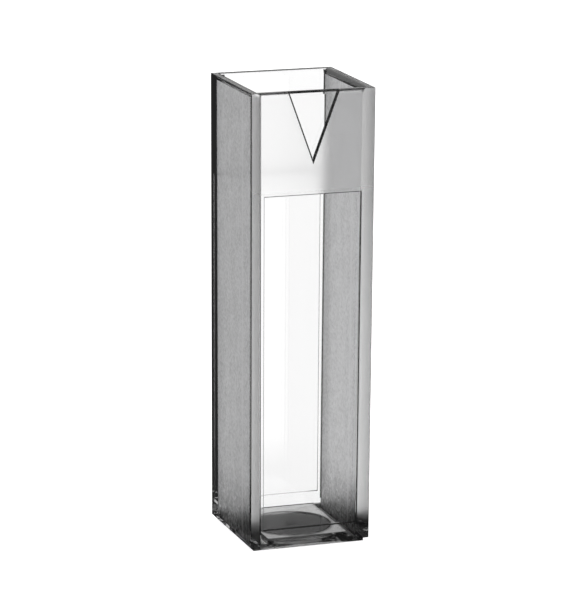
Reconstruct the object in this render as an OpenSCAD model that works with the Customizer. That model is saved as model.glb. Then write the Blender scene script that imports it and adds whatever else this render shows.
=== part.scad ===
// Cuvette: a square, open-topped sample cell with a 10 mm light path.
// One clear moulding, standing on its foot. Millimetres, +Z up, light path along Y.

/* [Body] */
// Overall height, foot to rim
height = 45; // [44:0.5:60]
// Outside width of the square rim
rim_width = 12.4; // [11.5:0.1:16]
// Outside width of the square body just above the foot
base_width = 12.14; // [11.5:0.02:16]

/* [Well] */
// Wall thickness at the rim
rim_wall = 1; // [0.8:0.05:1.3]
// Wall thickness down at the well floor
floor_wall = 1.12; // [0.8:0.02:1.3]
// Height of the raised middle of the well floor
floor_height = 1; // [0.8:0.05:3]
// Width of that raised middle, between the two side channels
floor_width = 8.2; // [8.1:0.1:8.8]
// Height of the side channels' floor
channel_height = 0.5; // [0.3:0.05:0.7]

/* [Optical windows] */
// Plain border left beside each window
window_margin = 1.3; // [1:0.05:2]
// Height of the windows' lower edge
window_bottom = 2.1; // [1.5:0.05:6]
// Height of the windows' upper edge
window_top = 35; // [20:0.5:35.5]
// Depth of the windows below the outside face
window_depth = 0.2; // [0.05:0.01:0.3]

/* [Arrow mark] */
// Width of the V at the rim
mark_width = 5.05; // [3:0.05:7]
// Length of the V, rim to point
mark_length = 6.8; // [4:0.1:8]
// Depth of the V below the front face
mark_depth = 0.25; // [0.05:0.01:0.3]

/* [Foot] */
// Height of the step under the body
foot_height = 0.4; // [0.2:0.05:0.8]
// How far the foot is set in from the body
foot_inset = 0.4; // [0.2:0.05:0.6]

/* [Gate recess] */
// Diameter of the round recess in the underside
recess_diameter = 7.8; // [3:0.1:8]
// Depth of the recess
recess_depth = 0.3; // [0.2:0.05:0.5]
// Diameter of the gate mark left in its middle
gate_diameter = 0.9; // [0.5:0.1:2]
// How far the gate mark stands down into the recess
gate_height = 0.15; // [0.05:0.05:0.15]

/* [Hidden] */
over = 1; // overrun of a cut past the surface that it opens
$fn = 96;

// Outside width at height z, with the draft carried past both ends.
function outer_width(z) =
    base_width + (rim_width - base_width) * (z - foot_height) / (height - foot_height);

// Inside width of the well at height z.
function well_width(z) =
    let (at_floor = base_width - 2 * floor_wall, at_rim = rim_width - 2 * rim_wall)
    at_floor + (at_rim - at_floor) * (z - channel_height) / (height - channel_height);

// Upright trapezoid, low_width wide at z_low and high_width wide at z_high.
module trapezoid(low_width, high_width, z_low, z_high) {
    polygon([[-low_width / 2, z_low], [low_width / 2, z_low],
             [high_width / 2, z_high], [-high_width / 2, z_high]]);
}

// Stands a drawn outline upright and runs it along Y, centred.
module along_y(length) {
    rotate([90, 0, 0]) linear_extrude(length, center = true) children();
}

// Square block with the same straight draft on its four sides.
module drafted_block(low_width, high_width, z_low, z_high) {
    reach = max(low_width, high_width) + 2 * over;
    intersection() {
        along_y(reach) trapezoid(low_width, high_width, z_low, z_high);
        rotate([0, 0, 90]) along_y(reach) trapezoid(low_width, high_width, z_low, z_high);
    }
}

module body() {
    drafted_block(base_width, rim_width, foot_height, height);
}

module foot() {
    foot_width = base_width - 2 * foot_inset;
    translate([-foot_width / 2, -foot_width / 2, 0])
        cube([foot_width, foot_width, foot_height + channel_height / 2]);
}

// Hollow of the well, deeper along the two side walls than in the middle.
module well() {
    top = height + over;
    difference() {
        drafted_block(well_width(channel_height), well_width(top), channel_height, top);
        along_y(base_width) trapezoid(floor_width, floor_width, 0, floor_height);
    }
}

// Shallow window in the front face and in the rear one.
module windows() {
    floor_of_cut_low = outer_width(window_bottom) - 2 * window_depth;
    floor_of_cut_high = outer_width(window_top) - 2 * window_depth;
    difference() {
        along_y(rim_width + 2 * over)
            trapezoid(outer_width(window_bottom) - 2 * window_margin,
                      outer_width(window_top) - 2 * window_margin, window_bottom, window_top);
        rotate([0, 0, 90]) along_y(rim_width + 2 * over)
            trapezoid(floor_of_cut_low, floor_of_cut_high, window_bottom, window_top);
    }
}

// V-shaped arrow at the front rim that marks the light path.
module arrow_mark() {
    point = height - mark_length;
    cut_top = height + over;
    cut_half = mark_width / 2 * (cut_top - point) / mark_length;
    difference() {
        translate([0, -rim_width / 2, 0]) along_y(rim_width / 2)
            polygon([[0, point], [cut_half, cut_top], [-cut_half, cut_top]]);
        rotate([0, 0, 90]) along_y(rim_width)
            trapezoid(outer_width(point - over) - 2 * mark_depth,
                      outer_width(cut_top + over) - 2 * mark_depth, point - over, cut_top + over);
    }
}

// Round recess in the underside, with the gate mark left standing in it.
module gate_recess() {
    difference() {
        translate([0, 0, -over]) cylinder(d = recess_diameter, h = over + recess_depth);
        translate([0, 0, recess_depth - gate_height])
            cylinder(d = gate_diameter, h = gate_height + over);
    }
}

module cuvette() {
    color([0.86, 0.87, 0.89])
    difference() {
        union() {
            body();
            foot();
        }
        well();
        windows();
        arrow_mark();
        gate_recess();
    }
}

cuvette();
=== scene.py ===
"""Looks for the cuvette: camera, clear plastic with its frosted, satin and polished zones, rounded
edges, stage and studio light. Blender units are metres; a name ending in _MM is in millimetres."""
import math

import bpy
from mathutils import Matrix, Vector


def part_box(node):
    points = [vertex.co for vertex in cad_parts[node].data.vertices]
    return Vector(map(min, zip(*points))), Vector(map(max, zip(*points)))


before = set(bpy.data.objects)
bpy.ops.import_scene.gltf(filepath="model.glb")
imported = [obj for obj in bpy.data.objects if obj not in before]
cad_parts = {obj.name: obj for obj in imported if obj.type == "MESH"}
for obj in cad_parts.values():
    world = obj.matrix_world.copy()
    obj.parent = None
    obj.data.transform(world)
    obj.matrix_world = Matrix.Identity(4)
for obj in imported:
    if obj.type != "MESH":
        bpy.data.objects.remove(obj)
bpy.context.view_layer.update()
scene = bpy.context.scene
scene.view_settings.view_transform = "Standard"

MM = 0.001
DEGREE = math.radians(1)
WHITE = (1.0, 1.0, 1.0, 1.0)
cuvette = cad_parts["cuvette"]
low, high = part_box("cuvette")


def mm(values):
    """Lengths in metres, from millimetres."""
    return [value * MM for value in values]


# ---------------------------------------------------------------- camera
# Solved from the part's corners in the photograph, with its height held at 45 mm.
VIEW_AZIMUTH = -19.27 * DEGREE
VIEW_ELEVATION = 13.43 * DEGREE
VIEW_ROLL = 0.35 * DEGREE
VIEW_DISTANCE_MM = 342.1
VIEW_SHIFT_MM = (-0.711, 0.595)  # to the camera's right and up, from facing the part's middle
FOCAL_PX = 3515.0
IMAGE_HEIGHT_PX = 604.0
SENSOR_MM = 36.0                 # along the image's height, which is its longer side
CLIP_MM = (10.0, 20000.0)        # nearest and farthest that the camera sees

back = Vector((math.sin(VIEW_AZIMUTH) * math.cos(VIEW_ELEVATION),
               -math.cos(VIEW_AZIMUTH) * math.cos(VIEW_ELEVATION), math.sin(VIEW_ELEVATION)))
sideways = Vector((0, 0, 1)).cross(back).normalized()
upright = back.cross(sideways)
right = math.cos(VIEW_ROLL) * sideways + math.sin(VIEW_ROLL) * upright
up = math.cos(VIEW_ROLL) * upright - math.sin(VIEW_ROLL) * sideways
eye = (low + high) / 2 + (back * VIEW_DISTANCE_MM
                          + right * VIEW_SHIFT_MM[0] + up * VIEW_SHIFT_MM[1]) * MM

lens = bpy.data.cameras.new("camera")
lens.sensor_width = SENSOR_MM
lens.lens = FOCAL_PX / IMAGE_HEIGHT_PX * SENSOR_MM
lens.clip_start, lens.clip_end = mm(CLIP_MM)
camera = bpy.data.objects.new("camera", lens)
scene.collection.objects.link(camera)
camera.matrix_world = (Matrix.Translation(eye)
                       @ Matrix((right, up, back)).transposed().to_4x4())
scene.camera = camera


# ---------------------------------------------------------------- node helpers
class Tree:
    """Short calls for building one node tree. A value is a number or the output of a node."""

    def __init__(self, tree):
        self.tree = tree
        tree.nodes.clear()

    def add(self, kind, **settings):
        node = self.tree.nodes.new(kind)
        for name, value in settings.items():
            setattr(node, name, value)
        return node

    def put(self, value, socket):
        if isinstance(value, bpy.types.NodeSocket):
            self.tree.links.new(value, socket)
        else:
            socket.default_value = value

    def math(self, operation, *values):
        node = self.add("ShaderNodeMath", operation=operation)
        for value, socket in zip(values, node.inputs):
            self.put(value, socket)
        return node.outputs[0]

    def chain(self, operation, values):
        result = values[0]
        for value in values[1:]:
            result = self.math(operation, result, value)
        return result

    def product(self, *values):
        return self.chain("MULTIPLY", values)

    def total(self, *values):
        return self.chain("ADD", values)

    def largest(self, *values):
        return self.chain("MAXIMUM", values)

    def magnitude(self, value):
        return self.math("ABSOLUTE", value)

    def rest(self, value):
        """What a share leaves of 1."""
        return self.math("SUBTRACT", 1.0, value)

    def above(self, value, limit):
        return self.math("GREATER_THAN", value, limit)

    def below(self, value, limit):
        return self.math("LESS_THAN", value, limit)

    def between(self, value, lowest, highest):
        return self.product(self.above(value, lowest), self.below(value, highest))

    def ramp(self, value, start, end):
        """0 up to start, 1 from end on, straight between. Start may lie above end."""
        node = self.add("ShaderNodeMapRange", clamp=True)
        self.put(value, node.inputs["Value"])
        self.put(start, node.inputs["From Min"])
        self.put(end, node.inputs["From Max"])
        return node.outputs[0]

    def radius(self, x, y):
        return self.math("SQRT", self.total(self.product(x, x), self.product(y, y)))

    def parts(self, vector):
        node = self.add("ShaderNodeSeparateXYZ")
        self.put(vector, node.inputs[0])
        return node.outputs

    def shader(self, kind, colour, strength=None):
        node = self.add(kind)
        node.inputs["Color"].default_value = colour
        if strength is not None:
            self.put(strength, node.inputs["Strength"])
        return node.outputs[0]

    def mix(self, share, first, second):
        """The first shader where share is 0, the second where it is 1."""
        node = self.add("ShaderNodeMixShader")
        for value, socket in zip((share, first, second), node.inputs):
            self.put(value, socket)
        return node.outputs[0]

    def end(self, shader, kind="ShaderNodeOutputMaterial"):
        self.put(shader, self.add(kind).inputs["Surface"])


def new_material(name):
    material = bpy.data.materials.new(name)
    material.use_nodes = True
    return material, Tree(material.node_tree)


# ---------------------------------------------------------------- clear plastic
PLASTIC_IOR = 1.59
# Places on the part, whose middle is at x = y = 0 and whose foot stands at z = 0. Front is -y.
OUTSIDE_MM = 5.8                 # faces further out than this are the outside ones
WELL_WALL_MM = (4.6, 5.4)        # the well's walls lie between these
WELL_HALF_LOW_MM = 4.947         # half the well's width, carried down to z = 0
WELL_SLOPE = 0.25 / 44.5         # how fast that half widens with height
WELL_FLOOR_MM = 1.5              # just above the well's floor
RIM_MM = 44.9                    # just below the rim
WINDOW_BOTTOM_MM, WINDOW_TOP_MM = 2.1, 35.0
WINDOW_HALF_LOW_MM, WINDOW_HALF_HIGH_MM = 4.775, 4.87  # half a window's width at those heights
MARK_POINT_MM = 38.2             # lower end of the V
MARK_SLOPE = 2.525 / 6.8         # half width of the V per millimetre of height
RECESS_RADIUS_MM = 3.9
RECESS_TOP_MM = 0.31             # just above the recess
# How far a facet faces along an axis, from 0 to 1.
FLAT = 0.985                     # a flat face, within 10 degrees of the axis
FACING = 0.9                     # a face with the first facet of the rounded edge beside it
STEP_FACING = 0.5                # steps of the windows and the V face y by less than this
ROUND_FACING = 0.1               # the rim's round, at front and rear, faces x by less than this
# Roughness of each zone. Every other face is polished.
FROST_ROUGHNESS = 0.38           # the well's two side walls
SATIN_ROUGHNESS = 0.3            # front face above the window, beside the V
LOW_SATIN_ROUGHNESS = 0.06       # front face beside and below the window
SATIN_FADE_MM = (31.0, 36.0)     # the low satin turns into the full one between these heights
RIM_ROUGHNESS = 0.4
UNDERSIDE_ROUGHNESS = 0.1
RECESS_ROUGHNESS = 0.12
# Noise on the frosted walls: size along x, y and z, detail, values spread over 0 to 1, depth.
GRAIN = ((0.34, 0.34, 0.34), 1.0, (0.3, 0.7), 0.35)
STREAKS = ((0.9, 0.9, 16.0), 2.0, (0.35, 0.65), 0.06)
MOTTLE = ((1.1, 1.1, 2.2), 2.0, (0.4, 0.6), 0.12)
SPECKS = ((0.3, 0.3, 0.3), 0.0, (0.66, 0.7), 0.6)  # pale: these take darkness away
FOOT_SHADE_MM = (7.0, 0.5)             # painted shade, darker towards the foot: none at the first height, full at the second
FOOT_SHADE_DEPTH = 0.6
FLOW_LINE_MM = -2.7              # a pale flow line down each side wall, at this y
FLOW_LINE_HALF_MM = (0.3, 0.08)  # none beyond the first distance, full within the second
FLOW_LINE_LIFT = 0.6             # the share of darkness that the line takes away
FROST_TINT = (0.95, 0.955, 0.975, 1.0)
# Rounded edges, steps and a line in the well's corners are painted dark: painted shade for the
# light that they scatter away.
EDGE_PAINTED_TONE = 0.002                # colour left on the edges by the painted shade
SHADED_CORNER_LINE_MM = 0.12
# Radii of the rounded edges.
EDGE_MM = 0.06                   # all but the following
REAR_EDGE_MM = 0.08              # rear window
MARK_EDGE_MM = 0.1               # V
WELL_CORNER_MM = 0.16            # the well's upright corners
RIM_EDGE_MM = 0.5                # the well's edge on the rim
UPRIGHT_MM = 10.0                # an edge in a corner is upright if its middle is above this
EDGE_ANGLE = 30 * DEGREE         # edges flatter than this aren't rounded
EDGE_SEGMENTS = 4
WELD_MM = 0.001
# Places of the colour sockets on a Mix node.
MIX_FIRST, MIX_SECOND, MIX_RESULT = 6, 7, 2

plastic, t = new_material("clear_polystyrene")
place = t.add("ShaderNodeTexCoord").outputs["Object"]
x, y, z = t.parts(place)
nx, ny, nz = t.parts(t.add("ShaderNodeNewGeometry").outputs["True Normal"])
abs_x, abs_y, abs_nx, abs_ny, abs_nz = (t.magnitude(v) for v in (x, y, nx, ny, nz))
farthest, nearest = t.largest(abs_x, abs_y), t.math("MINIMUM", abs_x, abs_y)

# Zones: each is 1 on its faces and 0 elsewhere. First the well's two side walls.
frost = t.product(t.between(abs_x, *mm(WELL_WALL_MM)), t.above(abs_nx, FLAT),
                  t.below(abs_y, WELL_WALL_MM[1] * MM))
# The front face, but for its V and window.
front = t.product(t.below(y, -OUTSIDE_MM * MM), t.above(abs_ny, FACING))
mark_half = t.product(t.math("SUBTRACT", z, MARK_POINT_MM * MM), MARK_SLOPE)
window_slope = (WINDOW_HALF_HIGH_MM - WINDOW_HALF_LOW_MM) / (WINDOW_TOP_MM - WINDOW_BOTTOM_MM)
window_half = t.total(t.product(t.math("SUBTRACT", z, WINDOW_BOTTOM_MM * MM), window_slope),
                      WINDOW_HALF_LOW_MM * MM)
in_window = t.product(t.between(z, WINDOW_BOTTOM_MM * MM, WINDOW_TOP_MM * MM),
                      t.below(abs_x, window_half))
satin = t.product(front, t.rest(t.below(abs_x, mark_half)), t.rest(in_window))
# Faces across the height.
underside = t.below(nz, -FACING)
beyond_recess = t.above(t.radius(x, y), RECESS_RADIUS_MM * MM)
rim = t.product(t.above(z, RIM_MM * MM), t.above(nz, FLAT))
# Where shade is painted dark, for the light they scatter away: steps, the well's corners, and
# rounded edges but for two at the rim.
flat = t.largest(*(t.above(value, FLAT) for value in (abs_nx, abs_ny, abs_nz)))
rim_round = t.product(t.above(z, (RIM_MM - RIM_EDGE_MM) * MM),
                      t.below(farthest, OUTSIDE_MM * MM), t.below(abs_nx, ROUND_FACING))
wall_height = t.between(z, WELL_FLOOR_MM * MM, RIM_MM * MM)
shaded_step_walls = t.product(t.above(abs_y, WELL_WALL_MM[1] * MM), t.below(abs_x, WELL_WALL_MM[1] * MM),
                      t.below(abs_ny, STEP_FACING), wall_height)
well_half = t.total(WELL_HALF_LOW_MM * MM, t.product(z, WELL_SLOPE))
shaded_corner_line = t.product(t.below(farthest, WELL_WALL_MM[1] * MM), wall_height,
                        t.above(nearest, t.math("SUBTRACT", well_half, SHADED_CORNER_LINE_MM * MM)))
rounded = t.product(t.rest(flat), t.above(z, RECESS_TOP_MM * MM), t.rest(rim_round))
edges = t.largest(shaded_corner_line, rounded)


def noise(size_mm, detail, spread, depth):
    """A noise pattern from 0 to depth, fixed to the part."""
    scaled = t.add("ShaderNodeVectorMath", operation="DIVIDE")
    t.put(place, scaled.inputs[0])
    scaled.inputs[1].default_value = mm(size_mm)
    node = t.add("ShaderNodeTexNoise")
    t.put(scaled.outputs[0], node.inputs["Vector"])
    node.inputs["Scale"].default_value = 1.0
    node.inputs["Detail"].default_value = detail
    return t.product(t.ramp(node.outputs[0], *spread), depth)


from_line = t.magnitude(t.math("SUBTRACT", y, FLOW_LINE_MM * MM))
flow_line = t.product(t.ramp(from_line, *mm(FLOW_LINE_HALF_MM)), FLOW_LINE_LIFT)
# Painted shade on the frosted walls, darker towards the foot; the grain, streaks and mottle beside
# it are the frost's own tone.
foot_shade = t.product(t.ramp(z, *mm(FOOT_SHADE_MM)), FOOT_SHADE_DEPTH)
grain_and_foot_shade = t.product(frost, t.total(noise(*GRAIN), noise(*STREAKS), noise(*MOTTLE), foot_shade),
                 t.rest(t.largest(noise(*SPECKS), flow_line)))
# The colour's tone: frost grain, the painted shade low on the frosted walls, and painted shade on
# steps, corners and edges.
tone = t.product(t.rest(grain_and_foot_shade), t.rest(shaded_step_walls), t.rest(t.product(edges, 1.0 - EDGE_PAINTED_TONE)))
tint = t.add("ShaderNodeMix", data_type="RGBA")
t.put(frost, tint.inputs["Factor"])
tint.inputs[MIX_FIRST].default_value = WHITE
tint.inputs[MIX_SECOND].default_value = FROST_TINT
toned = t.add("ShaderNodeVectorMath", operation="SCALE")
t.put(tint.outputs[MIX_RESULT], toned.inputs[0])
t.put(tone, toned.inputs["Scale"])

satin_level = t.total(LOW_SATIN_ROUGHNESS, t.product(t.ramp(z, *mm(SATIN_FADE_MM)),
                                                     SATIN_ROUGHNESS - LOW_SATIN_ROUGHNESS))
underside_level = t.total(RECESS_ROUGHNESS, t.product(beyond_recess,
                                                      UNDERSIDE_ROUGHNESS - RECESS_ROUGHNESS))
roughness = t.total(t.product(frost, FROST_ROUGHNESS), t.product(satin, satin_level),
                    t.product(underside, underside_level), t.product(rim, RIM_ROUGHNESS))

surface = t.add("ShaderNodeBsdfPrincipled")
surface.inputs["Transmission Weight"].default_value = 1.0
surface.inputs["IOR"].default_value = PLASTIC_IOR
t.put(toned.outputs[0], surface.inputs["Base Color"])
t.put(roughness, surface.inputs["Roughness"])
t.end(surface.outputs[0])
cuvette.data.materials.clear()
cuvette.data.materials.append(plastic)

# ---------------------------------------------------------------- rounded edges
# The bevel is as wide as the roundest edge needs, and each edge takes its share of that.
weld = cuvette.modifiers.new("weld", "WELD")
weld.merge_threshold = WELD_MM * MM

sizes = bpy.data.node_groups.new("edge_sizes", "GeometryNodeTree")
for way in ("INPUT", "OUTPUT"):
    sizes.interface.new_socket("Geometry", in_out=way, socket_type="NodeSocketGeometry")
g = Tree(sizes)
x, y, z = g.parts(g.add("GeometryNodeInputPosition").outputs[0])
abs_x, abs_y = g.magnitude(x), g.magnitude(y)
farthest, nearest = g.largest(abs_x, abs_y), g.math("MINIMUM", abs_x, abs_y)
radii = (
    (RIM_EDGE_MM, g.product(g.above(z, RIM_MM * MM), g.below(farthest, OUTSIDE_MM * MM))),
    (WELL_CORNER_MM, g.product(g.below(farthest, WELL_WALL_MM[1] * MM),
                               g.above(nearest, WELL_WALL_MM[0] * MM),
                               g.between(z, UPRIGHT_MM * MM, RIM_MM * MM))),
    (MARK_EDGE_MM, g.product(g.between(z, MARK_POINT_MM * MM, RIM_MM * MM),
                             g.below(y, -OUTSIDE_MM * MM),
                             g.below(abs_x, WELL_WALL_MM[0] * MM))),
    (REAR_EDGE_MM, g.product(g.between(z, WINDOW_BOTTOM_MM * MM, WINDOW_TOP_MM * MM),
                             g.above(y, OUTSIDE_MM * MM),
                             g.below(abs_x, WELL_WALL_MM[1] * MM))),
)
weight = g.total(EDGE_MM / RIM_EDGE_MM, *(g.product(there, (radius - EDGE_MM) / RIM_EDGE_MM)
                                          for radius, there in radii))
angle = g.add("GeometryNodeInputMeshEdgeAngle").outputs[0]
keep = g.add("GeometryNodeStoreNamedAttribute", data_type="FLOAT", domain="EDGE")
keep.inputs["Name"].default_value = "bevel_weight_edge"
g.put(g.add("NodeGroupInput").outputs[0], keep.inputs["Geometry"])
g.put(g.product(weight, g.above(angle, EDGE_ANGLE)), keep.inputs["Value"])
g.put(keep.outputs[0], g.add("NodeGroupOutput").inputs[0])
sized = cuvette.modifiers.new("edge_sizes", "NODES")
sized.node_group = sizes

edge = cuvette.modifiers.new("moulded_edges", "BEVEL")
edge.width = RIM_EDGE_MM * MM
edge.segments = EDGE_SEGMENTS
edge.limit_method = "WEIGHT"
edge.use_clamp_overlap = False

# ---------------------------------------------------------------- stage
# The floor, white to the camera and open to other rays, and below it a glowing card with painted
# light and shade in place of the table, as the light through the plastic finds it: painted shade in
# the round recess; painted light where the foot's ring touches at the back, less at the front and
# little at the sides; and painted shade close round the foot.
FLOOR_MM = 4000.0
FLOOR_COLOUR = (0.9, 0.9, 0.9, 1.0)
FLOOR_GLOW = 0.9                 # makes it white, with the lamp's light on it
SHADE_CARD_MM = 60.0
SHADE_CARD_HEIGHT_MM = -0.02          # just below the floor, so the camera doesn't see it
FOOT_HALF_MM = 5.67
RECESS_LEVEL = 0.12
RECESS_SOFT_MM = 0.4             # the recess's shade ends over this width
RING_LEVELS = (0.5, 0.8)         # front and back
RING_MM = (-5.0, 4.0)            # y of those two levels
SIDE_RING_MM = (4.0, 4.6)        # the ring darkens between these distances at the sides
SIDE_RING_DEPTH = 0.85
NEAR_LEVEL = 0.02                # the shade close round the foot
NEAR_MM = (12.0, 24.0)           # in front and beside: full up to the first, gone at the second
REAR_MM = (8.2, 8.8)             # and behind


def stage_plane(name, size_mm, height_mm, material):
    bpy.ops.mesh.primitive_plane_add(size=size_mm * MM, location=(0, 0, height_mm * MM))
    plane = bpy.context.active_object
    plane.name = name
    plane.data.materials.append(material)
    return plane


pale, t = new_material("pale_floor")
lit_floor = t.add("ShaderNodeAddShader")
t.put(t.shader("ShaderNodeBsdfDiffuse", FLOOR_COLOUR), lit_floor.inputs[0])
t.put(t.shader("ShaderNodeEmission", WHITE, FLOOR_GLOW), lit_floor.inputs[1])
t.end(t.mix(t.add("ShaderNodeLightPath").outputs["Is Camera Ray"],
            t.shader("ShaderNodeBsdfTransparent", WHITE), lit_floor.outputs[0]))
floor = stage_plane("floor", FLOOR_MM, 0.0, pale)

dim, t = new_material("contact_shade")
x, y, z = t.parts(t.add("ShaderNodeTexCoord").outputs["Object"])
abs_x, abs_y = t.magnitude(x), t.magnitude(y)
outside_recess = t.ramp(t.radius(x, y), *mm((RECESS_RADIUS_MM, RECESS_RADIUS_MM + RECESS_SOFT_MM)))
ring = t.total(RING_LEVELS[0], t.product(t.ramp(y, *mm(RING_MM)), RING_LEVELS[1] - RING_LEVELS[0]))
sides = t.product(t.ramp(abs_x, *mm(SIDE_RING_MM)), SIDE_RING_DEPTH)
under = t.total(t.product(t.rest(outside_recess), RECESS_LEVEL),
                t.product(outside_recess, t.product(ring, t.rest(sides))))
beside = t.above(t.largest(abs_x, abs_y), FOOT_HALF_MM * MM)
gone = t.largest(t.ramp(t.largest(abs_x, t.product(y, -1.0)), *mm(NEAR_MM)),
                 t.ramp(y, *mm(REAR_MM)))
level = t.total(t.product(t.rest(beside), under), t.product(beside, NEAR_LEVEL))
t.end(t.mix(gone, t.shader("ShaderNodeEmission", WHITE, level),
            t.shader("ShaderNodeBsdfTransparent", WHITE)))
contact = stage_plane("contact_shade", SHADE_CARD_MM, SHADE_CARD_HEIGHT_MM, dim)

# ---------------------------------------------------------------- studio light
# Light by the direction of a ray, as panels and cards round a table give it. Headings are degrees
# to the right of straight away from the photograph's camera, heights are degrees above level.
# (heading, half width, lowest, highest, softness, level)
PANELS = (
    (0.0, 180.0, -95.0, -7.0, 8.0, 0.86),
    (4.0, 16.0, -95.0, -2.0, 10.0, 1.045),
    (178.0, 70.0, -70.0, -2.0, 14.0, 0.9),
    (178.0, 50.0, -70.0, 50.0, 14.0, 0.7),
    (150.0, 20.0, -40.0, 0.0, 12.0, 1.2),
)
HALF_TURN = 180.0
DIM_LEVEL = 0.01                 # between the panels
# The panels' share, by how far the ray has come. Ray Depth is 1 more than the surfaces met.
FIRST_DEPTH = 2.5                # below this: plain reflections on the outside
FIRST_SHARE = 0.1
DEEP_DEPTH = 9.5                 # above this: light that went round inside the walls
DEEP_SHARE = 0.05
SKY_LEVEL = 0.6                  # what those plain reflections find overhead
SKY_HEIGHTS = (0.0, 10.0)
LAMP_SIZE_MM = 250.0
LAMP_POWER = 0.35                # watts
LAMP_MM = (-120.0, 50.0, 450.0)
LAMP_AIM_MM = (0.0, 0.0, 20.0)

world = bpy.data.worlds.new("studio")
scene.world = world
world.use_nodes = True
t = Tree(world.node_tree)
x, y, z = t.parts(t.add("ShaderNodeTexCoord").outputs["Generated"])
ahead = Vector((-back.x, -back.y)).normalized()
along = t.total(t.product(x, ahead.x), t.product(y, ahead.y))
across = t.total(t.product(x, ahead.y), t.product(y, -ahead.x))
heading = t.math("DIVIDE", t.math("ARCTAN2", across, along), DEGREE)
height = t.math("DIVIDE", t.math("ARCSINE", z), DEGREE)
level = DIM_LEVEL
for centre, half, lowest, highest, soft, strength in PANELS:
    panel = t.product(t.ramp(height, lowest - soft / 2, lowest + soft / 2),
                      t.ramp(height, highest + soft / 2, highest - soft / 2), strength)
    if half < HALF_TURN:
        turn = t.math("WRAP", t.math("SUBTRACT", heading, centre), HALF_TURN, -HALF_TURN)
        panel = t.product(panel, t.ramp(t.magnitude(turn), half + soft / 2, half - soft / 2))
    level = t.largest(level, panel)
path = t.add("ShaderNodeLightPath")
first = t.below(path.outputs["Ray Depth"], FIRST_DEPTH)
deep = t.above(path.outputs["Ray Depth"], DEEP_DEPTH)
share = t.total(1.0, t.product(first, FIRST_SHARE - 1.0), t.product(deep, DEEP_SHARE - 1.0))
overhead = t.product(first, t.ramp(height, *SKY_HEIGHTS), SKY_LEVEL)
light = t.largest(t.product(level, share), overhead, path.outputs["Is Camera Ray"])
t.end(t.shader("ShaderNodeBackground", WHITE, light), "ShaderNodeOutputWorld")

lamp_data = bpy.data.lights.new("soft_top", "AREA")
lamp_data.shape = "DISK"
lamp_data.size = LAMP_SIZE_MM * MM
lamp_data.energy = LAMP_POWER
lamp = bpy.data.objects.new("soft_top", lamp_data)
scene.collection.objects.link(lamp)
lamp.location = mm(LAMP_MM)
lamp.rotation_euler = (Vector(mm(LAMP_AIM_MM)) - lamp.location).to_track_quat("-Z", "Y").to_euler()
lamp.visible_transmission = False
lamp.visible_glossy = False
